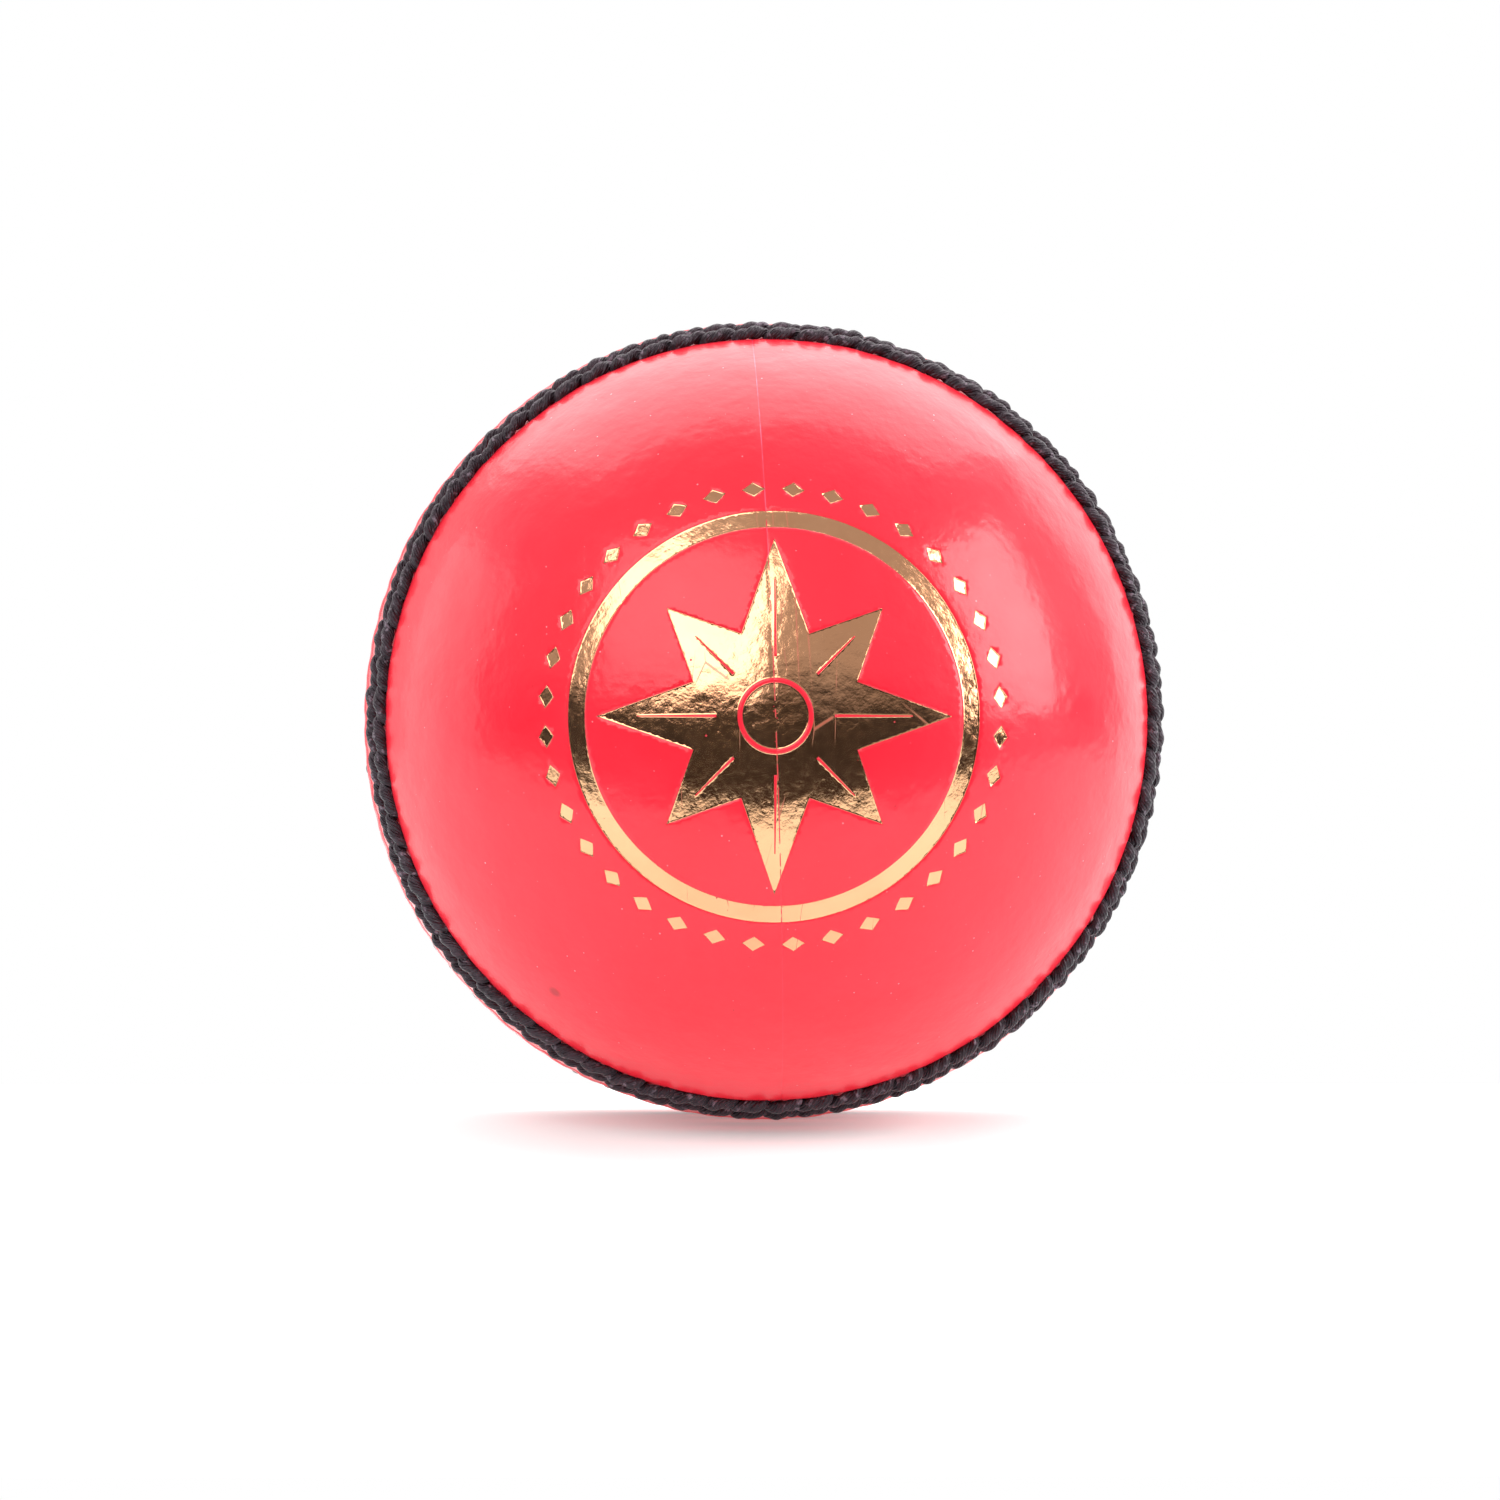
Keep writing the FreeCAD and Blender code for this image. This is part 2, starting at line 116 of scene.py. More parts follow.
# Foil medallion
STAMP_DEPTH = 0.1 * MM
STAMP_SLOPE = 0.09 * MM
FOIL_LIFT = 0.02 * MM
FOIL_OVERLAP = 0.03 * MM
FOIL_THICKNESS = 0.015 * MM
FOIL_SPACING = 0.24 * MM
FOIL_EDGE_SPACING = 0.35 * MM
FOIL_INSET = 0.09 * MM
JUST_UNDER = 0.999
STAR_POINTS = 8
STAR_TIPS = (15.6 * MM, 13.4 * MM)
STAR_VALLEY = 7.8 * MM
VEIN_START = 5.2 * MM
VEIN_TIP_GAP = 3.4 * MM
VEIN_HALF_WIDTH = 0.16 * MM
VEIN_TAPER = 0.5
BOSS_RADIUS = 2.9 * MM
BOSS_GAP = 0.5 * MM
BAND_RADII = (16.8 * MM, 18.2 * MM)
LOZENGES = 36
LOZENGE_CIRCLE = 20.2 * MM
LOZENGE_HALF_LENGTH = 0.95 * MM
LOZENGE_HALF_HEIGHT = 0.6 * MM
FOIL_REACH = LOZENGE_CIRCLE + 1 * MM
PROBE_STEP = 0.02 * MM
MITRE_LIMIT = 0.35
POINTS_AT_A_TIME = 2000


# ---------------------------------------------------------------- shape of the leather

def gaussian(x, width):
    return np.exp(-((x / width) ** 2))


def smooth_step(x, low, high):
    t = np.clip((x - low) / (high - low), 0, 1)
    return t * t * (3 - 2 * t)


def hollow(across, size, share=1.0):
    """The depth of a smooth hollow at this distance across it; share narrows it."""
    depth, width = size
    return depth * gaussian(across, width * share)


def unit(vectors):
    return vectors / np.linalg.norm(vectors, axis=1)[:, None]


def ripple(points, size, seed, waves=28):
    """Smooth seeded noise of about unit height, with waves of about the given size."""
    rng = np.random.default_rng(seed)
    total = np.zeros(len(points))
    for _ in range(waves):
        direction = rng.normal(size=3)
        direction /= np.linalg.norm(direction)
        wave_number = 2 * math.pi / (size * rng.uniform(*RIPPLE_SPREAD))
        total += np.sin(points @ direction * wave_number + rng.uniform(0, 2 * math.pi))
    return total / math.sqrt(waves / 2)


def rippled(points, ripples):
    return sum(height * ripple(points, size, seed) for height, size, seed in ripples)


def at_holes(azimuth, power):
    """1 at each stitch hole round the ball and 0 midway between two holes."""
    return (0.5 + 0.5 * np.cos((azimuth - FIRST_HOLE) * STITCHES)) ** power


def seam_height(distance, azimuth, points):
    """How the stitching shapes the leather near the equator."""
    holes = at_holes(azimuth, WIDE_HOLE_POWER)
    narrow_holes = at_holes(azimuth, NARROW_HOLE_POWER)
    uneven = 1 + rippled(points, [SEAM_RIPPLE])
    height = np.zeros(len(distance))
    for row in ("middle", "outer"):
        across = distance - ROW_DISTANCE[row]
        share = np.where((across > 0) & (row == "outer"), POLE_SIDE_SHARE, 1.0)
        height -= hollow(across, ROW_HOLLOW, share) * uneven
        height -= hollow(across, ROW_GROOVE, share)
        height -= hollow(across, ROW_HOLE, share) * narrow_holes
    height += RIDGE_HEIGHT * gaussian(distance - RIDGE_PLACE, RIDGE_WIDTH) * uneven
    across = distance - ROW_DISTANCE["closing"]
    height -= hollow(across, CLOSING_GROOVE)
    height -= hollow(across, CLOSING_HOLE) * narrow_holes
    lips = sum(gaussian(distance - place, width) for place, width in LIPS)
    height += (LIP_HEIGHT - LIP_HOLE_DEPTH * holes) * lips * uneven
    height -= hollow(distance, EQUATOR_GROOVE)
    return height - hollow(distance, EQUATOR_HOLLOW)


def joint_normal(side):
    """The unit normal of the plane in which the two quarters of a cup meet."""
    angle = JOINT_AZIMUTH[side] + math.pi / 2
    return np.array([math.cos(angle), 0, math.sin(angle)])


def leather_height(points, side):
    """Height of the leather above its mean sphere, at points on that sphere."""
    distance = BALL_RADIUS * np.arcsin(np.clip(np.abs(points[:, 1]) / BALL_RADIUS, 0, 1))
    azimuth = np.arctan2(points[:, 2], points[:, 0])
    height = seam_height(distance, azimuth, points) + rippled(points, LEATHER_RIPPLES)
    to_joint = np.abs(points @ joint_normal(side))
    return height - hollow(to_joint, JOINT_GROOVE) - hollow(to_joint, JOINT_HOLLOW)


def sphere_points(azimuth, distance, side):
    """Points on the mean sphere."""
    latitude = distance / BALL_RADIUS
    flat = BALL_RADIUS * np.cos(latitude)
    depth = side * BALL_RADIUS * np.sin(latitude) * np.ones_like(azimuth)
    return np.stack([flat * np.cos(azimuth), depth, flat * np.sin(azimuth)], axis=-1)


def raised(points, height):
    """Points on the mean sphere moved outwards by their heights."""
    return points * (1 + height / BALL_RADIUS)[:, None]


def cap_points(flat, side):
    """Points on the mean sphere that are seen along Y at these places in the plane XZ."""
    depth = np.sqrt(np.maximum(BALL_RADIUS ** 2 - (flat ** 2).sum(axis=1), 0))
    return np.stack([flat[:, 0], side * depth, flat[:, 1]], axis=-1)


# ---------------------------------------------------------------- outlines of the medallion

def circle(radius, count):
    angles = np.arange(count) * 2 * math.pi / count
    return radius * np.stack([np.cos(angles), np.sin(angles)], axis=-1)


def turned(points, angle):
    cos, sin = math.cos(angle), math.sin(angle)
    return points @ np.array([[cos, sin], [-sin, cos]])


def star_and_veins():
    """The outline of the star and those of the narrow slits along its rays."""
    star = []
    veins = []
    for i in range(STAR_POINTS):
        angle = i * 2 * math.pi / STAR_POINTS
        tip = STAR_TIPS[i % 2]
        star.append(turned(np.array([tip, 0.0]), angle))
        star.append(turned(np.array([STAR_VALLEY, 0.0]), angle + math.pi / STAR_POINTS))
        end = tip - VEIN_TIP_GAP
        wide = VEIN_HALF_WIDTH
        thin = VEIN_HALF_WIDTH * VEIN_TAPER
        vein = [[VEIN_START, -wide], [end, -thin], [end, thin], [VEIN_START, wide]]
        veins.append(turned(np.array(vein), angle))
    return np.array(star), veins


def medallion_outlines():
    """The closed outlines of the foil; what lies inside an odd number of them is foil."""
    star, loops = star_and_veins()
    loops.append(star)
    loops.append(circle(BOSS_RADIUS, 96))
    loops.append(circle(BOSS_RADIUS + BOSS_GAP, 108))
    loops += [circle(radius, 320) for radius in BAND_RADII]
    lozenge = np.array(
        [
            [LOZENGE_CIRCLE - LOZENGE_HALF_HEIGHT, 0],
            [LOZENGE_CIRCLE, LOZENGE_HALF_LENGTH],
            [LOZENGE_CIRCLE + LOZENGE_HALF_HEIGHT, 0],
            [LOZENGE_CIRCLE, -LOZENGE_HALF_LENGTH],
        ]
    )
    step = 2 * math.pi / LOZENGES
    loops += [turned(lozenge, (i + 0.5) * step) for i in range(LOZENGES)]
    return loops


def divided(loop, spacing):
    """The same outline with extra points along its long edges."""
    points = []
    for start, end in zip(loop, np.roll(loop, -1, axis=0)):
        count = max(1, int(np.linalg.norm(end - start) / spacing))
        points += [start + (end - start) * i / count for i in range(count)]
    return np.array(points)


def foil_distance(flat, loops):
    """Distance to the nearest outline: negative on the foil and positive off it."""
    starts = np.concatenate(loops)
    ends = np.concatenate([np.roll(loop, -1, axis=0) for loop in loops])
    along = ends - starts
    lengths = (along ** 2).sum(axis=1)
    result = np.empty(len(flat))
    for first in range(0, len(flat), POINTS_AT_A_TIME):
        point = flat[first:first + POINTS_AT_A_TIME, None, :]
        share = np.clip(((point - starts) * along).sum(axis=2) / lengths, 0, 1)
        gap = point - starts - share[..., None] * along
        nearest = np.sqrt((gap ** 2).sum(axis=2)).min(axis=1)
        x, y = point[..., 0], point[..., 1]
        spans = (starts[:, 1] > y) != (ends[:, 1] > y)
        rise = np.where(along[:, 1] == 0, 1, along[:, 1])
        crossing = starts[:, 0] + (y - starts[:, 1]) * along[:, 0] / rise
        inside = (spans & (x < crossing)).sum(axis=1) % 2 == 1
        result[first:first + POINTS_AT_A_TIME] = np.where(inside, -nearest, nearest)
    return result


def offset_loop(loop, loops, amount):
    """An outline moved outwards from the foil by this amount, with mitred corners."""
    before = unit(loop - np.roll(loop, 1, axis=0))
    after = unit(np.roll(loop, -1, axis=0) - loop)
    normals = unit(np.stack([before[:, 1] + after[:, 1], -before[:, 0] - after[:, 0]], axis=-1))
    edge_normals = np.stack([after[:, 1], -after[:, 0]], axis=-1)
    cosines = np.abs((normals * edge_normals).sum(axis=1))
    probe = (loop[0] + loop[1]) / 2 + PROBE_STEP * edge_normals[0]
    outwards = 1 if foil_distance(probe[None, :], loops)[0] > 0 else -1
    reach = amount / np.maximum(cosines, MITRE_LIMIT)
    return loop + outwards * reach[:, None] * normals


def stamp_height(distance):
    """What the hot die pressed into the leather, by distance from the foil's outline."""
    return -STAMP_DEPTH * (1 - smooth_step(distance, 0, STAMP_SLOPE))


# ---------------------------------------------------------------- triangulation

KEEP_ALL, KEEP_INSIDE = 0, 1
SNAP = 1e-5


def hexagonal_grid(radius, spacing):
    """Evenly spread points inside a circle."""
    rows = int(2 * radius / (spacing * HEXAGON_ROW)) + 1
    columns = int(2 * radius / spacing) + 1
    points = []
    for i in range(rows):
        x = -radius + (np.arange(columns) + 0.5 * (i % 2)) * spacing
        y = np.full(columns, -radius + i * spacing * HEXAGON_ROW)
        points.append(np.stack([x, y], axis=-1))
    points = np.concatenate(points)
    return points[np.hypot(points[:, 0], points[:, 1]) < radius - GRID_MARGIN * spacing]


def away_from(points, others, gap):
    """The points that keep this gap from all the others."""
    tree = kdtree.KDTree(len(others))
    for i, (x, y) in enumerate(others):
        tree.insert((x, y, 0), i)
    tree.balance()
    near = [tree.find((x, y, 0))[2] for x, y in points]
    return points[np.array(near) > gap]


def triangulated(fixed_loops, fixed_lines, loose_points, kept=KEEP_ALL):
    """Delaunay triangles through all points that keep the loops and lines as edges.

    Also gives, for each corner, the numbers of the points that it came from.
    """
    chains = [(loop, True) for loop in fixed_loops] + [(line, False) for line in fixed_lines]
    edges = []
    first = 0
    for chain, closed in chains:
        count = len(chain)
        edges += [(first + i, first + i + 1) for i in range(count - 1)]
        if closed:
            edges.append((first + count - 1, first))
        first += count
    points = np.concatenate([chain for chain, _ in chains] + [loose_points]) / MM
    found = geometry.delaunay_2d_cdt([Vector(p) for p in points], edges, [], kept, SNAP, True)
    corners = np.array([tuple(v) for v in found[0]]) * MM
    return corners, np.array(found[2]), found[3]


# ---------------------------------------------------------------- leather quarters

def lines_beside(joint, start, stamp_edges):
    """Points along both sides of the joint, clear of the stamped outlines."""
    lines = [joint[2:-2] + turned(np.array([0, gap]), start) for gap in JOINT_SIDE_LINES]
    points = np.concatenate(lines)
    if stamp_edges:
        points = away_from(points, np.concatenate(stamp_edges), STAMP_EDGE_GAP)
    return points


def make_cap(side, loops):
    """The triangles of a cup's pole, cut along its joint and round the stamped outlines."""
    start = JOINT_AZIMUTH[side]
    rim = turned(circle(CAP_RADIUS, 2 * CAP_COLUMNS), start)
    along = np.linspace(-CAP_RADIUS, CAP_RADIUS, int(2 * CAP_RADIUS / JOINT_SPACING))[1:-1]
    joint = turned(np.stack([along, np.zeros_like(along)], axis=-1), start)
    joint = np.concatenate([rim[CAP_COLUMNS:CAP_COLUMNS + 1], joint, rim[:1]])
    edges = []
    for loop in loops:
        fine = divided(loop, STAMP_EDGE_SPACING)
        edges += [fine, offset_loop(fine, loops, STAMP_SLOPE)]
    beside = lines_beside(joint, start, edges)
    fixed = np.concatenate([rim, joint] + edges + [beside])
    inner = away_from(hexagonal_grid(CAP_RADIUS, CAP_SPACING), fixed, CAP_SPACING / 2)
    loose = np.concatenate([beside, inner])
    corners, triangles, _ = triangulated([rim] + edges, [joint[1:-1]], loose)
    points = cap_points(corners, side)
    height = leather_height(points, side)
    if loops:
        height += stamp_height(foil_distance(corners, loops))
    return corners, raised(points, height), triangles


def row_distances():
    """Where the rings of the leather's mesh lie: close at the equator and in the seam."""
    distances = list(EQUATOR_RINGS)
    step = SEAM_STEP
    while distances[-1] + step < LAST_RING:
        distances.append(distances[-1] + step)
        if distances[-1] > GROWTH_START:
            step = min(step * STEP_GROWTH, WIDEST_STEP)
    return distances


def columns_at(distance):
    """How many faces a ring has over its half turn."""
    if distance < SEAM_EDGE:
        return SEAM_COLUMNS
    return SHOULDER_COLUMNS if distance < SHOULDER_EDGE else CAP_COLUMNS


def bridge(first, second):
    """Faces between two rows of points that run the same way and end side by side."""
    a, b = len(first) - 1, len(second) - 1
    if a == b:
        return [(first[i], first[i + 1], second[i + 1], second[i]) for i in range(a)]
    faces = []
    i = j = 0
    while i < a or j < b:
        if j == b or (i < a and (i + 1) * b <= (j + 1) * a):
            faces.append((first[i], first[i + 1], second[j]))
            i += 1
        else:
            faces.append((first[i], second[j + 1], second[j]))
            j += 1
    return faces


def even_directions(count):
    """Directions spread evenly over a whole sphere, along a spiral."""
    index = np.arange(count) + 0.5
    polar = np.arccos(1 - 2 * index / count)
    turn = math.pi * (1 + math.sqrt(5)) * index
    flat = np.sin(polar)
    return np.stack([flat * np.cos(turn), flat * np.sin(turn), np.cos(polar)], axis=-1)


def inner_lining(boundary, side, middle):
    """Triangles over the inside of a quarter, made on a flat map centred on the quarter.

    Also gives, for each point on the edge, its number in the boundary.
    """
    centre = (middle + np.array([0.0, side, 0.0])) / math.sqrt(2)
    across = unit(np.array([[0.0, 0.0, 1.0] - centre[2] * centre]))[0]
    upwards = np.cross(centre, across)

    def flattened(directions):
        scale = 1 + directions @ centre
        return np.stack([directions @ across / scale, directions @ upwards / scale], axis=-1)

    spread = even_directions(LINING_POINTS)
    edge = flattened(boundary)
    inside = (side * spread[:, 1] > LINING_MARGIN) & (spread @ middle > LINING_MARGIN)
    loose = away_from(flattened(spread[inside]), edge, LINING_GAP)
    corners, triangles, origins = triangulated([edge * MM], [], loose * MM, KEEP_INSIDE)
    corners = corners / MM
    size = (corners ** 2).sum(axis=1)[:, None]
    directions = (1 - size) * centre + 2 * corners[:, :1] * across + 2 * corners[:, 1:] * upwards
    directions = directions / (1 + size)
    used, faces = np.unique(triangles, return_inverse=True)
    place = {}
    for new, old in enumerate(used):
        for source in origins[old]:
            if source < len(boundary):
                place[new] = source
    return directions[used] * INNER_RADIUS, faces.reshape(-1, 3), place


def cap_half(cap, direction, normal):
    """Half of a cup's pole: its points and faces, then its points on the joint and on the rim."""
    flat, corners, triangles = cap
    triangles = triangles[(flat[triangles] @ normal).mean(axis=1) > 0]
    used, faces = np.unique(triangles, return_inverse=True)
    flat = flat[used]
    along, beyond = flat @ direction, flat @ normal
    joint = np.flatnonzero(np.abs(beyond) < SAME_PLACE)
    joint = joint[np.argsort(-along[joint])]
    rim = np.flatnonzero(np.abs(np.hypot(flat[:, 0], flat[:, 1]) - CAP_RADIUS) < SAME_PLACE)
    turn = np.arctan2(beyond[rim], along[rim])
    turn = np.where(turn < -SAME_TURN, turn + 2 * math.pi, turn)
    return corners[used], [tuple(face) for face in faces.reshape(-1, 3)], joint, rim[np.argsort(turn)]


def quarter_rings(start, side):
    """The rings of points from the equator to the cap, over half a turn."""
    rings = []
    for distance in row_distances():
        columns = columns_at(distance)
        azimuth = start + np.arange(columns + 1) * math.pi / columns
        mean = sphere_points(azimuth, distance, side)
        rings.append(raised(mean, leather_height(mean, side)))
    return rings


def closed_inside(points, faces, loop, side, middle):
    """Closes a quarter with its lining and with walls along its cut edges."""
    lining, lining_faces, sources = inner_lining(unit(points[loop]), side, middle)
    first = len(points)
    faces = faces + [tuple(face) for face in lining_faces + first]
    inner = {source: first + index for index, source in sources.items()}
    for i in range(len(loop)):
        j = (i + 1) % len(loop)
        faces.append((loop[i], loop[j], inner[j], inner[i]))
    return np.concatenate([points, lining]), faces


def make_quarter(name, side, half, cap):
    """One leather quarter as a closed shell. half 0 starts at the joint, half 1 opposite it."""
    start = JOINT_AZIMUTH[side] + half * math.pi
    direction = np.array([math.cos(start), math.sin(start)])
    normal = np.array([-direction[1], direction[0]])
    corners, faces, joint_row, rim_row = cap_half(cap, direction, normal)
    rings = quarter_rings(start, side)
    rows = []
    first = len(corners)
    for ring in rings:
        rows.append(np.arange(first, first + len(ring)))
        first += len(ring)
    rows.append(rim_row)
    for lower, upper in zip(rows, rows[1:]):
        faces += bridge(lower, upper)
    loop = list(rows[0]) + [row[-1] for row in rows[1:-1]]
    loop += list(joint_row[::-1]) + [row[0] for row in rows[-2:0:-1]]
    middle = np.array([normal[0], 0.0, normal[1]])
    points, faces = closed_inside(np.concatenate([corners] + rings), faces, loop, side, middle)
    return finished(name, points, faces)


# ---------------------------------------------------------------- meshes in general

LEATHER_ANGLE, THREAD_ANGLE, FLAT_ANGLE = 50, 80, 180


def finished(name, points, faces, sharp_angle=LEATHER_ANGLE):
    """A mesh object with outward normals and smooth shading."""
    mesh = bpy.data.meshes.new(name)
    mesh.from_pydata(points.tolist(), [], [tuple(int(i) for i in face) for face in faces])
    work = bmesh.new()
    work.from_mesh(mesh)
    bmesh.ops.recalc_face_normals(work, faces=work.faces)
    work.to_mesh(mesh)
    work.free()
    mesh.shade_smooth()
    mesh.set_sharp_from_angle(angle=math.radians(sharp_angle))
    piece = bpy.data.objects.new(name, mesh)
    bpy.context.scene.collection.objects.link(piece)
    return piece


# ---------------------------------------------------------------- foil

def foil_surfaces(flat, loops):
    """The foil's upper and lower surface: pressed in, and finely wrinkled by the grain below."""
    points = cap_points(flat, FRONT)
    height = leather_height(points, FRONT) + stamp_height(foil_distance(flat, loops)) + FOIL_LIFT
    height += rippled(points, FOIL_RIPPLES)
    return raised(points, height), raised(points, height - FOIL_THICKNESS)


def foil_triangles(loops):
    """The corners and triangles of the foil, with fine rows of points along its outlines."""
    rim, outline, inset = [], [], []
    for loop in loops:
        fine = divided(loop, FOIL_EDGE_SPACING)
        rim.append(offset_loop(fine, loops, FOIL_OVERLAP))
        outline.append(fine)
        inset.append(offset_loop(fine, loops, -FOIL_INSET))
    grid = hexagonal_grid(FOIL_REACH, FOIL_SPACING)
    grid = grid[foil_distance(grid, loops) < 0]
    grid = away_from(grid, np.concatenate(rim + outline + inset), FOIL_SPACING / 2)
    flat, triangles, _ = triangulated(rim + outline, [], np.concatenate(inset + [grid]))
    middles = flat[triangles].mean(axis=1)
    triangles = triangles[foil_distance(middles, loops) < FOIL_OVERLAP * JUST_UNDER]
    used, renumbered = np.unique(triangles, return_inverse=True)
    return flat[used], renumbered.reshape(-1, 3)


def open_edges(triangles):
    """The edges that only one triangle has."""
    edges = {}
    for a, b, c in triangles:
        for edge in ((a, b), (b, c), (c, a)):
            if edge[::-1] in edges:
                del edges[edge[::-1]]
            else:
                edges[edge] = True
    return list(edges)


def make_foil(loops):
    """The medallion as one thin closed piece of foil per outline."""
    flat, triangles = foil_triangles(loops)
    top, bottom = foil_surfaces(flat, loops)
    count = len(flat)
    faces = triangles.tolist() + (triangles[:, ::-1] + count).tolist()
    faces += [(a, b, b + count, a + count) for a, b in open_edges(triangles.tolist())]
    return finished("gold_foil_medallion", np.concatenate([top, bottom]), faces, FLAT_ANGLE)


# ---------------------------------------------------------------- stitches

# The styles are in millimetres; the overrun is a share of the distance between two holes.
STITCH_SEED = 100
STITCH_STEPS = 30
STITCH_SIDES = 36
STITCH_OVERRUN = 0.07
STITCH_STYLES = {
    "outer": dict(radius=0.62, rise=0.34, side_step=0.36, depth=1.2),
    "middle": dict(radius=0.6, rise=0.1, side_step=0.36, depth=0.9),
    "closing": dict(radius=0.45, rise=-0.66, side_step=0.22, depth=0.9),
}

# How stitches differ from each other, and the shape of their threads
ALONG_CHANGE = 0.03
SIDE_CHANGE = 0.06
RISE_CHANGE = 0.06
SIZE_RANGE = (0.94, 1.05)
LUMP_SIZE = 0.07
LUMP_RANGE = (8, 14)
LUMP_SHIFT = 6
DIVE_POWER = 7
TAPER_POWER = 3.4
END_SIZE = 0.57
PLIES = 2
PLY_CREASE = 0.33
PLY_POWER = 0.9
TWIST_RANGE = (0.8, 1.2)


def stitch_path(row, side, index, rng):
    """The middle line of a stitch from hole to hole, and the leather's mean surface below it."""
    style = STITCH_STYLES[row]
    share = np.linspace(0, 1, STITCH_STEPS)
    bend = 2 * share - 1
    along = share * (1 + 2 * STITCH_OVERRUN) - STITCH_OVERRUN
    along = along + rng.uniform(-ALONG_CHANGE, ALONG_CHANGE)
    across = style["side_step"] * np.sin(bend * math.pi / 2) + rng.uniform(-SIDE_CHANGE, SIDE_CHANGE)
    rise = style["rise"] + rng.uniform(-RISE_CHANGE, RISE_CHANGE)
    rise = rise - style["depth"] * np.abs(bend) ** DIVE_POWER
    azimuth = FIRST_HOLE + (index + along) * PITCH
    mean = sphere_points(azimuth, ROW_DISTANCE[row] + across * MM, side)
    return raised(mean, rise * MM), mean


def path_sides(path, mean):
    """The directions across a path: along the surface and away from it."""
    tangents = unit(np.gradient(path, axis=0))
    sideways = unit(np.cross(unit(mean), tangents))
    return sideways, np.cross(tangents, sideways)


def stitch_mesh(row, side, index, rng):
    """The rings of points of one stitch, and at each point where it lies on which strand."""
    path, mean = stitch_path(row, side, index, rng)
    sideways, outwards = path_sides(path, mean)
    share = np.linspace(0, 1, STITCH_STEPS)
    swell = np.sqrt(np.clip(1 - np.abs(2 * share - 1) ** TAPER_POWER, 0, 1))
    lumps = 1 + LUMP_SIZE * np.sin(share * rng.uniform(*LUMP_RANGE) + rng.uniform(0, LUMP_SHIFT))
    radius = STITCH_STYLES[row]["radius"] * rng.uniform(*SIZE_RANGE)
    radius = radius * (END_SIZE + (1 - END_SIZE) * swell) * lumps
    angle = np.arange(STITCH_SIDES) * 2 * math.pi / STITCH_SIDES
    twist = rng.uniform(*TWIST_RANGE) * share * 2 * math.pi * side + rng.uniform(0, 2 * math.pi)
    strand = angle[None, :] - twist[:, None]
    ply = np.abs(np.cos(strand * PLIES / 2)) ** PLY_POWER
    size = radius[:, None] * (1 - PLY_CREASE + PLY_CREASE * ply) * MM
    points = path[:, None, :] + (
        (size * np.cos(angle))[..., None] * sideways[:, None, :]
        + (size * np.sin(angle))[..., None] * outwards[:, None, :]
    )
    own = np.full_like(strand, rng.uniform(0, 1))
    return points, np.stack([np.cos(strand), np.sin(strand), own], axis=-1)


def stitch_faces(first):
    """The faces of one closed stitch whose points start at this number."""
    last = first + (STITCH_STEPS - 1) * STITCH_SIDES
    faces = []
    for ring in range(first, last, STITCH_SIDES):
        upper = ring + STITCH_SIDES
        for j in range(STITCH_SIDES):
            k = (j + 1) % STITCH_SIDES
            faces.append((ring + j, ring + k, upper + k, upper + j))
    ends = [tuple(range(ring, ring + STITCH_SIDES)) for ring in (first, last)]
    return faces + ends


def make_stitch_row(row, side):
    """All the stitches of one row, each a closed piece of twisted thread."""
    rng = np.random.default_rng(STITCH_SEED + 10 * list(ROW_DISTANCE).index(row) + side)
    points, faces, marks = [], [], []
    for index in range(STITCHES):
        rings, strands = stitch_mesh(row, side, index, rng)
        points.append(rings.reshape(-1, 3))
        marks.append(strands.reshape(-1, 3))
        faces += stitch_faces(index * STITCH_STEPS * STITCH_SIDES)
    name = row + "_stitches_" + ("front" if side == FRONT else "back")
    piece = finished(name, np.concatenate(points), faces, THREAD_ANGLE)
    layer = piece.data.attributes.new("strand", "FLOAT_VECTOR", "POINT")
    layer.data.foreach_set("vector", np.concatenate(marks).astype(np.float32).ravel())
    return piece


# ---------------------------------------------------------------- materials

class Nodes:
    """Short ways to add nodes to the node tree of a material or of the world."""

    def __init__(self, owner):
        owner.use_nodes = True
        self.tree = owner.node_tree
        self.tree.nodes.clear()

    def add(self, kind, **settings):
        node = self.tree.nodes.new(kind)
        for key, value in settings.items():
            setattr(node, key, value)
        return node

    def set(self, node, name, value):
        """Sets an input to a value or links it to another node's output."""
        if isinstance(value, bpy.types.NodeSocket):
            self.tree.links.new(value, node.inputs[name])
        else:
            node.inputs[name].default_value = value

    def parts(self, vector):
        """The three components of a vector."""
        node = self.add("ShaderNodeSeparateXYZ")
        self.set(node, 0, vector)
        return node.outputs

    def ramp(self, value, low, high, start=0.0, end=1.0):
        """Carries a range of values smoothly to another, and holds it at both ends."""
        node = self.add("ShaderNodeMapRange", interpolation_type="SMOOTHSTEP")
        self.set(node, "Value", value)
        self.set(node, "From Min", low)
        self.set(node, "From Max", high)
        self.set(node, "To Min", start)
        self.set(node, "To Max", end)
        return node.outputs["Result"]

    def math(self, operation, first, second=0.0):
        node = self.add("ShaderNodeMath", operation=operation)
        self.set(node, 0, first)
        self.set(node, 1, second)
        return node.outputs[0]

    def mix(self, share, first, second):
        """Blends two colours, each a colour or another node's output."""
        node = self.add("ShaderNodeMix", data_type="RGBA")
        self.set(node, 0, share)
        self.set(node, 6, first if isinstance(first, bpy.types.NodeSocket) else (*first, 1))
        self.set(node, 7, second if isinstance(second, bpy.types.NodeSocket) else (*second, 1))
        return node.outputs[2]


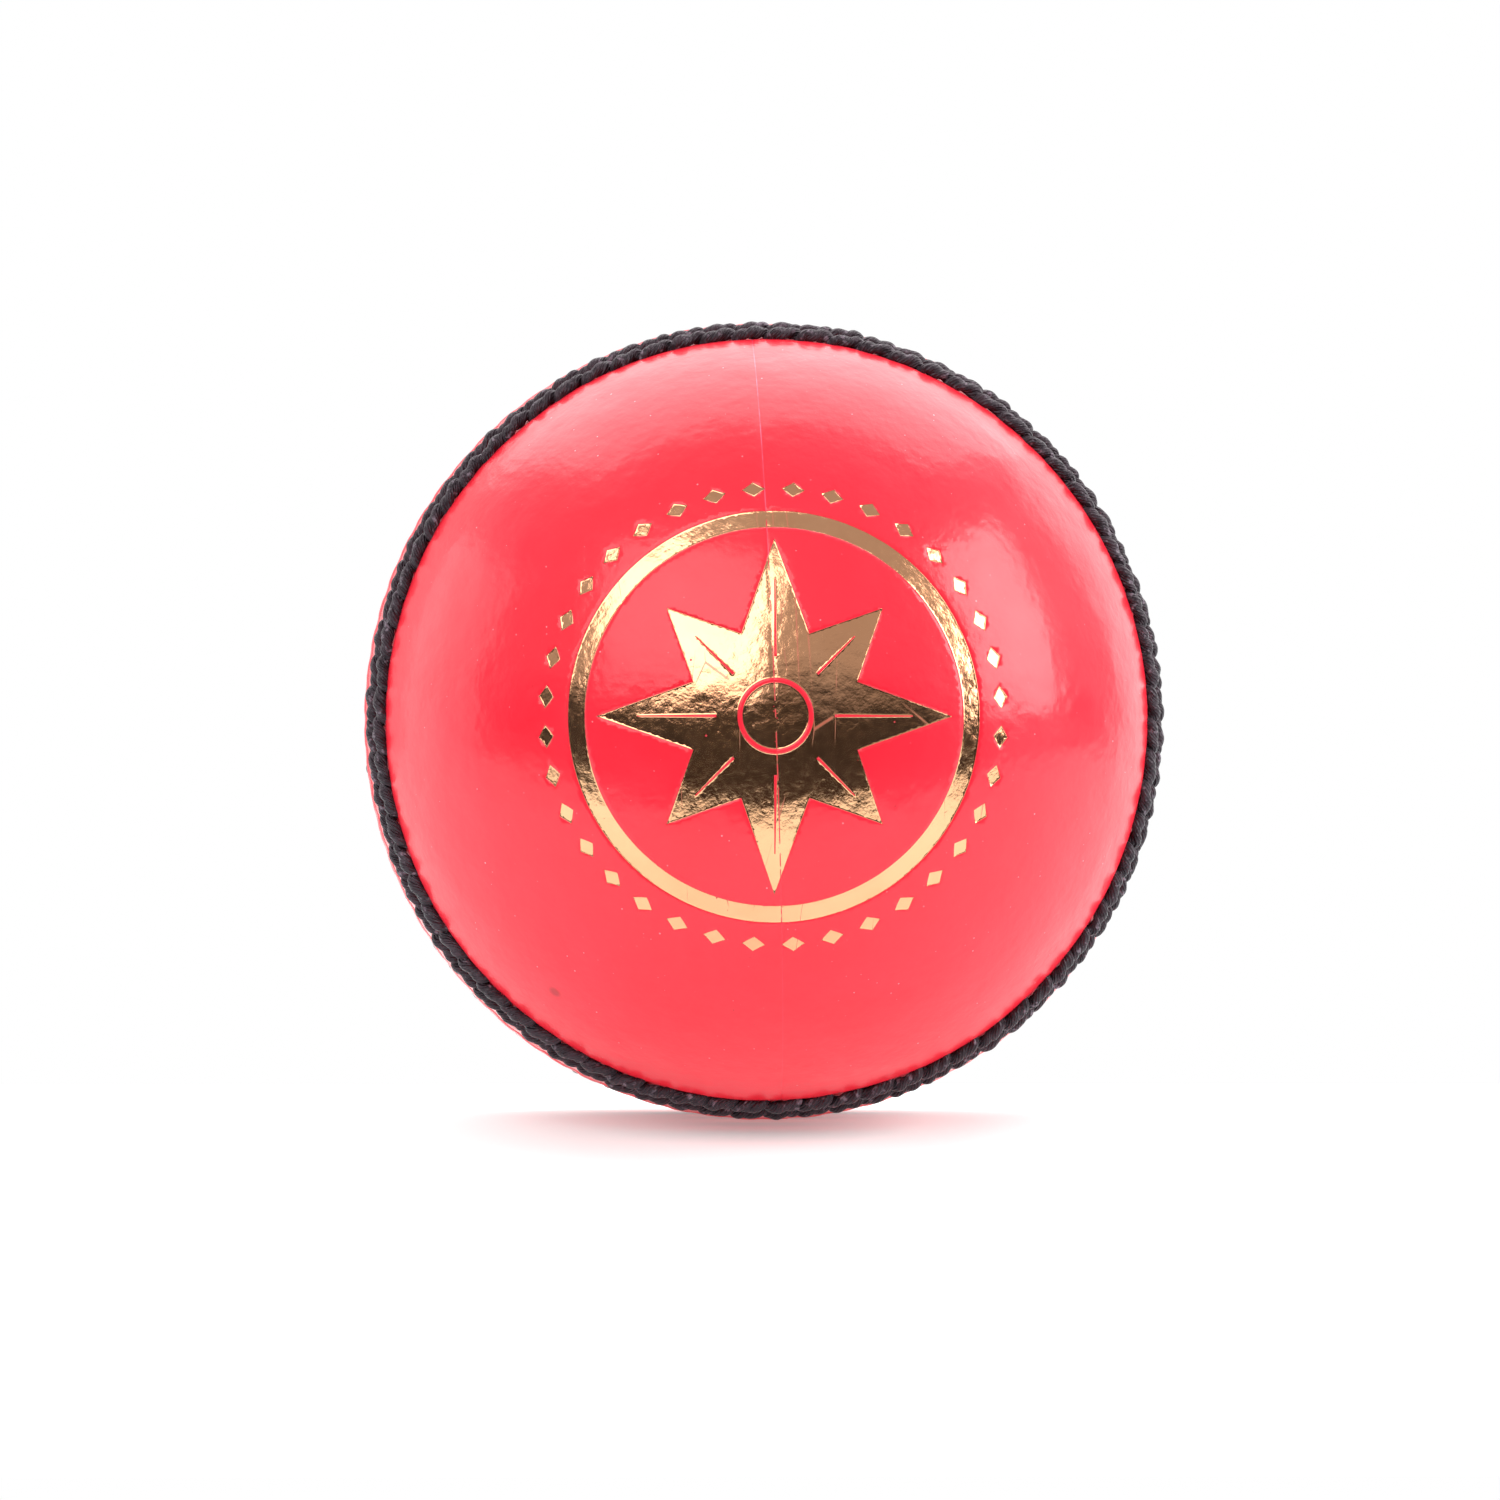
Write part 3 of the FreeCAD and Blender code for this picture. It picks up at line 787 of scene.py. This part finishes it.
class Surface(Nodes):
    """A new material with one principled shader, and short ways to add patterns to it."""

    def __init__(self, name):
        self.material = bpy.data.materials.new(name)
        super().__init__(self.material)
        self.shader = self.add("ShaderNodeBsdfPrincipled")
        self.set(self.add("ShaderNodeOutputMaterial"), 0, self.shader.outputs[0])
        self.place = self.add("ShaderNodeTexCoord").outputs["Object"]

    def noise(self, scale, detail=2.0, roughness=0.5, distortion=0.0):
        node = self.add("ShaderNodeTexNoise")
        self.set(node, "Vector", self.place)
        self.set(node, "Scale", scale)
        self.set(node, "Detail", detail)
        self.set(node, "Roughness", roughness)
        self.set(node, "Distortion", distortion)
        return node.outputs["Fac"]

    def cells(self, scale, feature="F1", output="Distance", place=None):
        node = self.add("ShaderNodeTexVoronoi", feature=feature)
        self.set(node, "Vector", place or self.place)
        self.set(node, "Scale", scale)
        return node.outputs[output]

    def mapped(self, **settings):
        """The place in the object, turned or stretched."""
        node = self.add("ShaderNodeMapping")
        self.set(node, "Vector", self.place)
        for name, value in settings.items():
            self.set(node, name, value)
        return node.outputs[0]

    def from_front_joint(self):
        """The distance from the plane in which the front quarters meet."""
        node = self.add("ShaderNodeVectorMath", operation="DOT_PRODUCT")
        self.set(node, 0, self.place)
        self.set(node, 1, tuple(joint_normal(FRONT)))
        return self.math("ABSOLUTE", node.outputs["Value"])

    def bump(self, height, distance, strength=1.0, under=None):
        node = self.add("ShaderNodeBump")
        self.set(node, "Height", height)
        self.set(node, "Distance", distance)
        self.set(node, "Strength", strength)
        if under is not None:
            self.set(node, "Normal", under)
        return node.outputs[0]

    def finish(self, **inputs):
        for name, value in inputs.items():
            name = name.replace("_", " ")
            if isinstance(value, tuple) and len(value) == 3:
                value = (*value, 1)
            self.set(self.shader, name, value)
        return self.material


# Colours of what can be seen
LEATHER_COLOURS = ((0.93, 0.018, 0.039), (0.94, 0.021, 0.045))
DUST_COLOUR = (1.0, 0.5, 0.6)
DARK_SPECK_COLOUR = (0.3, 0.003, 0.01)
DARK_SPECK_SHARE = 0.15
FLECK_COLOUR = (0.40, 0.006, 0.015)
FLECK_PLACE = (-0.0192, -0.0184, -0.0245)
# Pale pink painted highlight along the groove of the front joint
JOINT_HIGHLIGHT_COLOUR = (0.90, 0.28, 0.50)
THREAD_COLOURS = ((0.012, 0.007, 0.010), (0.034, 0.021, 0.028))
FUZZ_COLOUR = (0.10, 0.068, 0.085)
# Pale mauve spots painted on the thread as glints of light
THREAD_GLINT_COLOUR = (0.25, 0.19, 0.235)
THREAD_FIBRES = 10.0
GOLD_COLOURS = ((0.82, 0.405, 0.215), (0.86, 0.44, 0.24))
BARE_COLOUR = (0.75, 0.05, 0.06)


def dark_fleck(n, colour):
    """One small dark spot at the lower left of the front cup."""
    away = n.add("ShaderNodeVectorMath", operation="DISTANCE")
    n.set(away, 0, n.place)
    n.set(away, 1, FLECK_PLACE)
    return n.mix(n.ramp(away.outputs["Value"], 0.0003, 0.0009, 0.7, 0.0), colour, FLECK_COLOUR)


def dust_and_dark_specks(n, colour):
    """Specks of many sizes and strengths, most of them pale and some of them dark."""
    chance = n.parts(n.cells(1500, "F1", "Color"))
    size = n.ramp(chance[0], 0.6, 1.0, 0.0, 0.13)
    speck = n.math("LESS_THAN", n.cells(1500), size)
    speck = n.math("MULTIPLY", speck, n.ramp(chance[1], 0.3, 1.0, 0.06, 0.5))
    dark_speck = n.math("LESS_THAN", chance[2], DARK_SPECK_SHARE)
    return n.mix(speck, colour, n.mix(dark_speck, DUST_COLOUR, DARK_SPECK_COLOUR))


def joint_highlight(n, colour):
    """A fine pale painted highlight along the groove where the front quarters meet, stronger towards
    the top.
    """
    parts = n.parts(n.place)
    # Painted highlight: a pale line along the joint, stronger towards the top
    line = n.ramp(n.from_front_joint(), 0.00002, 0.00007, 0.36, 0.0)
    line = n.math("MULTIPLY", line, n.ramp(parts[1], -0.006, -0.003, 1.0, 0.0))
    line = n.math("MULTIPLY", line, n.ramp(parts[2], 0.0, 0.024, 0.12, 1.0))
    line = n.math("MULTIPLY", line, n.ramp(n.noise(420, 2), 0.35, 0.6, 0.35, 1.0))
    return n.mix(line, colour, JOINT_HIGHLIGHT_COLOUR)


def leather_material():
    """Neon coral leather with a worn shine: grain, pores, dust, dark specks, one dark fleck and a
    painted highlight along the front joint.
    """
    n = Surface("pink_leather")
    colour = n.mix(n.ramp(n.noise(90, 3), 0.3, 0.7), *LEATHER_COLOURS)
    colour = dark_fleck(n, colour)
    colour = dust_and_dark_specks(n, colour)
    colour = joint_highlight(n, colour)
    grain = n.math("ADD", n.math("MULTIPLY", n.cells(1900), 0.5), n.noise(1500, 4, 0.6))
    normal = n.bump(n.noise(350, 2, 0.5), 0.00007, 1.0)
    normal = n.bump(n.noise(900, 3, 0.55), 0.000035, 1.0, normal)
    normal = n.bump(grain, 0.000006, 1.0, normal)
    roughness = n.ramp(n.noise(260, 3), 0.3, 0.7, 0.285, 0.36)
    return n.finish(
        Base_Color=colour,
        Roughness=roughness,
        Normal=normal,
        Specular_IOR_Level=0.25,
        Coat_Weight=0.42,
        Coat_Roughness=0.14,
        Coat_Normal=normal,
    )


def thread_material():
    """Black waxed thread: twisted fibres with a little mauve sheen, and pale mauve spots painted on
    as glints of light.
    """
    n = Surface("black_seam_thread")
    parts = n.parts(n.add("ShaderNodeAttribute", attribute_name="strand").outputs["Vector"])
    around = n.math("ARCTAN2", parts[1], parts[0])
    around = n.math("ADD", around, n.ramp(n.noise(500, 2), 0.2, 0.8, -0.4, 0.4))
    fibre = n.math("SINE", n.math("MULTIPLY", around, THREAD_FIBRES))
    fuzz = n.noise(2200, 3, 0.6)
    worn = n.noise(900, 2)
    # Painted glints: pale mauve spots where the waxed thread would catch the light
    painted_glints = n.ramp(n.noise(1200, 2, 0.6), 0.58, 0.72, 0.0, 0.8)
    colour = n.mix(n.ramp(worn, 0.35, 0.7), *THREAD_COLOURS)
    colour = n.mix(n.ramp(fuzz, 0.56, 0.8, 0.0, 0.75), colour, FUZZ_COLOUR)
    colour = n.mix(painted_glints, colour, THREAD_GLINT_COLOUR)
    height = n.math("ADD", fibre, n.math("MULTIPLY", fuzz, 3.5))
    normal = n.bump(height, 0.00003, 1.0)
    roughness = n.ramp(worn, 0.3, 0.7, 0.3, 0.5)
    return n.finish(
        Base_Color=colour,
        Roughness=roughness,
        Normal=normal,
        Specular_IOR_Level=0.42,
        Specular_Tint=(1.0, 0.82, 0.92),
        Sheen_Weight=0.05,
        Sheen_Roughness=0.4,
        Sheen_Tint=(0.9, 0.66, 0.74),
    )


def foil_material():
    """Hot-stamped gold foil: mirror bright, wrinkled, cracked at the joint, finely scratched."""
    n = Surface("gold_foil")
    wrinkle = n.noise(1700, 4, 0.6, 0.4)
    scratches = []
    for turn, scale in ((0.9, 150), (-0.7, 120)):
        stretched = n.mapped(Rotation=(0.0, turn, 0.0), Scale=(1.0, 0.05, 0.2))
        edge = n.cells(scale, "DISTANCE_TO_EDGE", place=stretched)
        scratches.append(n.ramp(edge, 0.0, 0.006, 1.0, 0.0))
    scratch = n.math("MAXIMUM", scratches[0], scratches[1])
    scratch = n.math("MULTIPLY", scratch, n.ramp(n.noise(170, 2), 0.5, 0.62, 0.0, 0.6))
    pinhole_size = n.ramp(n.noise(240, 1), 0.55, 0.8, 0.0, 0.13)
    pinhole = n.math("LESS_THAN", n.cells(900), pinhole_size)
    crack = n.ramp(n.from_front_joint(), 0.00003, 0.00007, 1.0, 0.0)
    crack = n.math("MULTIPLY", crack, n.ramp(n.noise(700, 2), 0.42, 0.5))
    bare = n.math("MAXIMUM", n.math("MAXIMUM", scratch, pinhole), crack)
    gold = n.mix(n.ramp(n.noise(200, 3), 0.3, 0.7), *GOLD_COLOURS)
    colour = n.mix(bare, gold, BARE_COLOUR)
    normal = n.bump(wrinkle, 0.00002, 1.0)
    normal = n.bump(n.noise(650, 3, 0.6), 0.00005, 1.0, normal)
    roughness = n.ramp(wrinkle, 0.3, 0.7, 0.1, 0.2)
    return n.finish(
        Base_Color=colour,
        Metallic=n.math("SUBTRACT", 1.0, bare),
        Roughness=roughness,
        Normal=normal,
    )


def inner_thread_material():
    """Undyed waxed thread."""
    n = Surface("inner_thread")
    fuzz = n.noise(2600, 3, 0.6)
    colour = n.mix(n.ramp(n.noise(500, 2), 0.3, 0.7), (0.62, 0.53, 0.38), (0.78, 0.70, 0.54))
    colour = n.mix(n.ramp(fuzz, 0.5, 0.8, 0.0, 0.4), colour, (0.45, 0.37, 0.25))
    normal = n.bump(fuzz, 0.00006, 0.7)
    return n.finish(Base_Color=colour, Roughness=n.ramp(fuzz, 0.3, 0.7, 0.6, 0.85), Normal=normal)


def cork_material():
    """Pressed cork: pale granules of several browns, with painted shade darkening the sunken gaps
    between them.
    """
    n = Surface("cork")
    granule = n.cells(420, "F1", "Color")
    gap = n.cells(420, "DISTANCE_TO_EDGE")
    bright = n.add("ShaderNodeRGBToBW")
    n.set(bright, 0, granule)
    colour = n.mix(bright.outputs[0], (0.42, 0.24, 0.12), (0.72, 0.50, 0.30))
    # Painted shade in the sunken gaps between granules
    colour = n.mix(n.ramp(gap, 0.0, 0.07, 0.8, 0.0), colour, (0.13, 0.07, 0.04))
    colour = n.mix(n.ramp(n.noise(1500, 4), 0.45, 0.7, 0.0, 0.35), colour, (0.3, 0.17, 0.09))
    normal = n.bump(n.ramp(gap, 0.0, 0.1), 0.0001, 0.6)
    normal = n.bump(n.noise(2400, 3), 0.00005, 0.5, normal)
    return n.finish(Base_Color=colour, Roughness=n.ramp(gap, 0, 0.1, 0.95, 0.75), Normal=normal)


def yarn_material():
    """Worsted yarn wound round and round: fine crossing strands over a warm off-white, with painted
    shade darkening the grooves between them.
    """
    n = Surface("worsted_yarn")
    strands = []
    for turn, scale in (((0.3, 0.2, 0.0), 560), ((1.2, 0.7, 0.4), 520)):
        wave = n.add("ShaderNodeTexWave", bands_direction="Z")
        n.set(wave, "Vector", n.mapped(Rotation=turn))
        n.set(wave, "Scale", scale)
        n.set(wave, "Distortion", 2.0)
        strands.append(wave.outputs["Fac"])
    over = n.ramp(n.noise(110, 1), 0.47, 0.53)
    crossed = n.add("ShaderNodeMix", data_type="FLOAT")
    n.set(crossed, 0, over)
    n.set(crossed, 2, strands[0])
    n.set(crossed, 3, strands[1])
    strand = crossed.outputs[0]
    # Painted shade: the yarn darkens where the strands' bump sinks, in the grooves between them
    colour = n.mix(strand, (0.42, 0.33, 0.22), (0.78, 0.70, 0.56))
    colour = n.mix(n.ramp(n.noise(3000, 3), 0.5, 0.8, 0.0, 0.4), colour, (0.88, 0.82, 0.7))
    normal = n.bump(strand, 0.0002, 0.8)
    return n.finish(Base_Color=colour, Roughness=n.ramp(strand, 0, 1, 0.95, 0.8), Normal=normal)


def core_material():
    """Moulded cork and rubber: dark compound with lighter cork crumbs."""
    n = Surface("core_compound")
    crumb = n.ramp(n.cells(700), 0.2, 0.42, 1.0, 0.0)
    crumb = n.math("MULTIPLY", crumb, n.ramp(n.noise(300, 2), 0.4, 0.6))
    colour = n.mix(n.noise(250, 3), (0.06, 0.035, 0.025), (0.12, 0.07, 0.05))
    colour = n.mix(crumb, colour, (0.42, 0.25, 0.13))
    normal = n.bump(n.noise(900, 4), 0.0001, 0.5)
    return n.finish(Base_Color=colour, Roughness=n.ramp(crumb, 0, 1, 0.62, 0.9), Normal=normal)


def floor_material():
    """Matte pale studio floor, very slightly uneven; its faint cyan tint cancels the pink light that
    the ball throws onto it, and a faint glow lightens the ball's shadow on it.
    """
    n = Surface("studio_floor")
    # Faint cyan tint that cancels the pink light bounced onto the floor from the ball
    colour = n.mix(n.noise(40, 3), (0.74, 0.86, 0.85), (0.76, 0.88, 0.87))
    normal = n.bump(n.noise(900, 3), 0.0001, 0.05)
    return n.finish(
        Base_Color=colour,
        Roughness=0.9,
        Normal=normal,
        # Faint glow, standing in for more light, that lightens the ball's shadow on the floor
        Emission_Color=(1.0, 1.0, 1.0),
        Emission_Strength=0.25,
    )


# ---------------------------------------------------------------- putting the ball together

def placed(piece, material, slot, *nodes):
    """Gives a piece its material, hangs it under the root body and hides the CAD nodes that it stands
    for.
    """
    piece.data.materials.clear()
    piece.data.materials.append(material)
    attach(piece, "root")
    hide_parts(*nodes)


def make_leather(loops):
    """The four quarters; the front cup's pole is stamped and the back cup's is plain."""
    leather = leather_material()
    quarters = {
        FRONT: ("leather_quarter_front_left", "leather_quarter_front_right"),
        BACK: ("leather_quarter_back_upper", "leather_quarter_back_lower"),
    }
    for side, nodes in quarters.items():
        cap = make_cap(side, loops if side == FRONT else [])
        for half, node in enumerate(nodes):
            piece = make_quarter(node.replace("quarter", "panel"), side, half, cap)
            placed(piece, leather, "pink_leather", node)


def make_seam(thread):
    """The six rows of stitches, three on each side of the equator."""
    for row in ROW_DISTANCE:
        for side, word in ((FRONT, "front"), (BACK, "back")):
            node = row + "_stitch_row_" + word
            placed(make_stitch_row(row, side), thread, "seam_thread", node)


def finish_inside(seam_thread):
    """Materials of the CAD pieces inside the ball, which keep their own shapes."""
    plain_thread = inner_thread_material()
    materials = {
        "core": core_material(),
        "cork_layer": cork_material(),
        "yarn": yarn_material(),
        "under_thread": plain_thread,
        "joint_thread": plain_thread,
        "cross_thread": seam_thread,
    }
    for name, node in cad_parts.items():
        for word, material in materials.items():
            if word in name:
                node.data.materials.clear()
                node.data.materials.append(material)


# ---------------------------------------------------------------- studio

ROOM_BACK = 0.85
ROOM_FRONT = 0.52
ROOM_BELOW = 0.05
FLOOR_SIDE = 0.4
FLOOR_FRONT = 0.14
FLOOR_SLOPE = math.radians(11.5)
FLOOR_BEND = 6 * MM
FLOOR_FRONT_ROWS = np.linspace(-FLOOR_FRONT, -0.05, 6)
FLOOR_BEND_ROWS = np.linspace(-0.045, 0.03, 31)
FLOOR_BACK_ROWS = (0.1, 0.2, 0.3)


def make_floor():
    """A small pale floor under the ball that bends gently down towards the viewer."""
    xs = np.linspace(-FLOOR_SIDE, FLOOR_SIDE, 9)
    ys = np.concatenate([FLOOR_FRONT_ROWS, FLOOR_BEND_ROWS, FLOOR_BACK_ROWS])
    drop = FLOOR_BEND * (np.log1p(np.exp(-ys / FLOOR_BEND)) - math.log(2))
    level = -BALL_RADIUS - drop * math.tan(FLOOR_SLOPE)
    points = np.array([[x, y, z] for y, z in zip(ys, level) for x in xs])
    count = len(xs)
    faces = [
        (i * count + j, i * count + j + 1, (i + 1) * count + j + 1, (i + 1) * count + j)
        for i in range(len(ys) - 1)
        for j in range(count - 1)
    ]
    floor = finished("studio_floor", points, faces, FLAT_ANGLE)
    floor.data.materials.append(floor_material())


def direction(azimuth, elevation):
    """A unit vector: azimuth 0 is the viewer's side, growing to the right; elevation upwards."""
    a, e = math.radians(azimuth), math.radians(elevation)
    return Vector((math.sin(a) * math.cos(e), -math.cos(a) * math.cos(e), math.sin(e)))


def make_softbox(name, azimuth, elevation, away, width, height, radiance):
    """A rectangular lamp that faces the ball."""
    data = bpy.data.lights.new(name, "AREA")
    data.shape = "RECTANGLE"
    data.size, data.size_y = width, height
    data.energy = radiance * math.pi * width * height
    lamp = bpy.data.objects.new(name, data)
    lamp.location = direction(azimuth, elevation) * away
    lamp.rotation_euler = lamp.location.to_track_quat("Z", "Y").to_euler()
    bpy.context.scene.collection.objects.link(lamp)


# name: azimuth and elevation in degrees, distance, width and height in metres, radiance
SOFTBOXES = {
    "key_left": (-27, 29, 0.8, 0.7, 0.62, 3.0),
    "side_right": (77, 22, 0.8, 0.44, 0.58, 6.2),
    "top_back": (180, 62, 0.9, 1.3, 0.8, 2.4),
    "fill_left": (-108, 12, 0.9, 0.6, 0.6, 1.4),
    "back_right": (138, 12, 0.9, 0.6, 0.8, 1.4),
}


def make_world():
    """A room that is white behind the ball, dim in front and dark below, and white to the camera."""
    world = bpy.data.worlds.new("studio")
    n = Nodes(world)
    parts = n.parts(n.add("ShaderNodeTexCoord").outputs["Generated"])
    front = n.ramp(parts[2], 0.02, 0.3, ROOM_BELOW, ROOM_FRONT)
    room = n.add("ShaderNodeBackground")
    n.set(room, "Color", (1, 1, 1, 1))
    n.set(room, "Strength", n.ramp(parts[1], 0.1, 0.75, front, ROOM_BACK))
    plain = n.add("ShaderNodeBackground")
    n.set(plain, "Color", (1, 1, 1, 1))
    mixer = n.add("ShaderNodeMixShader")
    n.set(mixer, 0, n.add("ShaderNodeLightPath").outputs["Is Camera Ray"])
    n.set(mixer, 1, room.outputs[0])
    n.set(mixer, 2, plain.outputs[0])
    n.set(n.add("ShaderNodeOutputWorld"), 0, mixer.outputs[0])
    bpy.context.scene.world = world


VIEW_AZIMUTH = -1.8
VIEW_ELEVATION = -0.7
VIEW_DISTANCE = 1.5
SENSOR_WIDTH = 36
CLIP_START = 10 * MM
FRAME_WIDTH = 135.3 * MM
BALL_ASIDE = 1.13 * MM
BALL_ABOVE = 2.58 * MM


def make_camera():
    """A long lens that looks almost along the ball's axis, with the ball a little off centre."""
    data = bpy.data.cameras.new("camera")
    data.sensor_width = SENSOR_WIDTH
    data.lens = SENSOR_WIDTH * VIEW_DISTANCE / FRAME_WIDTH
    data.clip_start = CLIP_START
    camera = bpy.data.objects.new("camera", data)
    back = direction(VIEW_AZIMUTH, VIEW_ELEVATION)
    turn = back.to_track_quat("Z", "Y")
    aim = turn @ Vector((-BALL_ASIDE, -BALL_ABOVE, 0))
    camera.location = aim + back * VIEW_DISTANCE
    camera.rotation_euler = turn.to_euler()
    bpy.context.scene.collection.objects.link(camera)
    bpy.context.scene.camera = camera


outlines = medallion_outlines()
make_leather(outlines)
placed(make_foil(outlines), foil_material(), "gold_foil", "gold_foil_stamp")
seam_thread = thread_material()
make_seam(seam_thread)
finish_inside(seam_thread)
make_floor()
for name, settings in SOFTBOXES.items():
    make_softbox(name, *settings)
make_world()
make_camera()
bpy.context.scene.view_settings.view_transform = "Standard"
